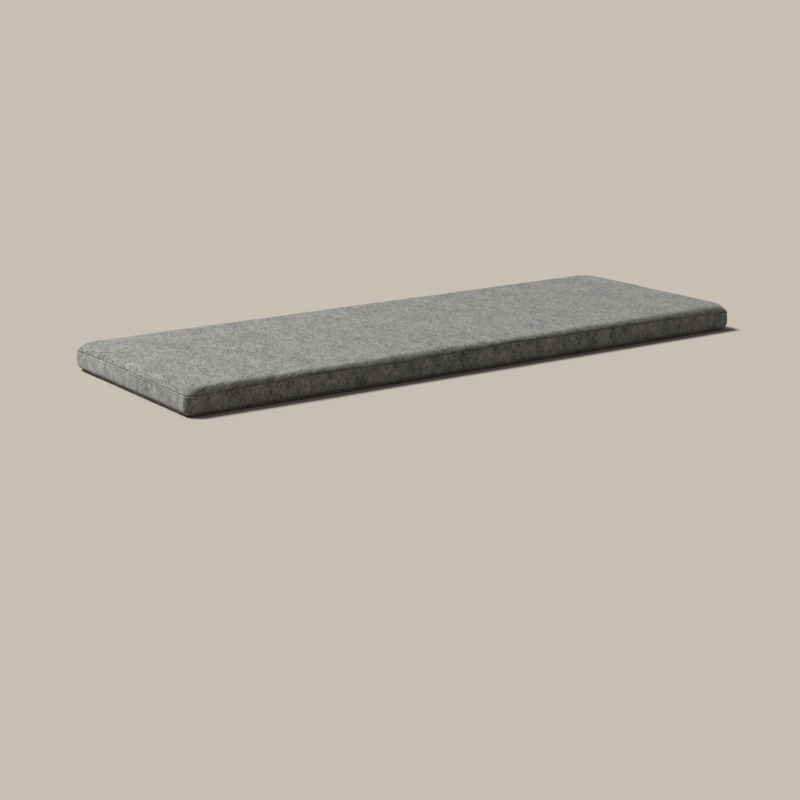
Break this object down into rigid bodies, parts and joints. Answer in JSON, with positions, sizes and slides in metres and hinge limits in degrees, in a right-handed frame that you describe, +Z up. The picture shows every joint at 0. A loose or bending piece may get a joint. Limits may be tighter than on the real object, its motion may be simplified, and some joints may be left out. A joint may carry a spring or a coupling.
{
  "type": "bench cushion",
  "caption": "Long thin boxed seat cushion for a bench, one filled solid with a low crown, rolled edges and a sewn-on side band.",
  "frame": {"origin": "on the surface that the cushion rests on, under the middle of the cushion", "axes": "+Z up through the thickness, +X along the length, -Y towards the front edge; half a turn about Z gives the same cushion"},
  "size_m": [1.2, 0.445, 0.052],
  "materials": {
    "panel_cloth": "brushed grey chenille with a short soft pile, mottled where the pile lies different ways",
    "band_cloth": "the same grey chenille, with its yarns running up and down the side"
  },
  "bodies": {
    "root": {"cushion_body": "panel_cloth", "boxing_left": "band_cloth", "boxing_right": "band_cloth"}
  },
  "joints": []
}
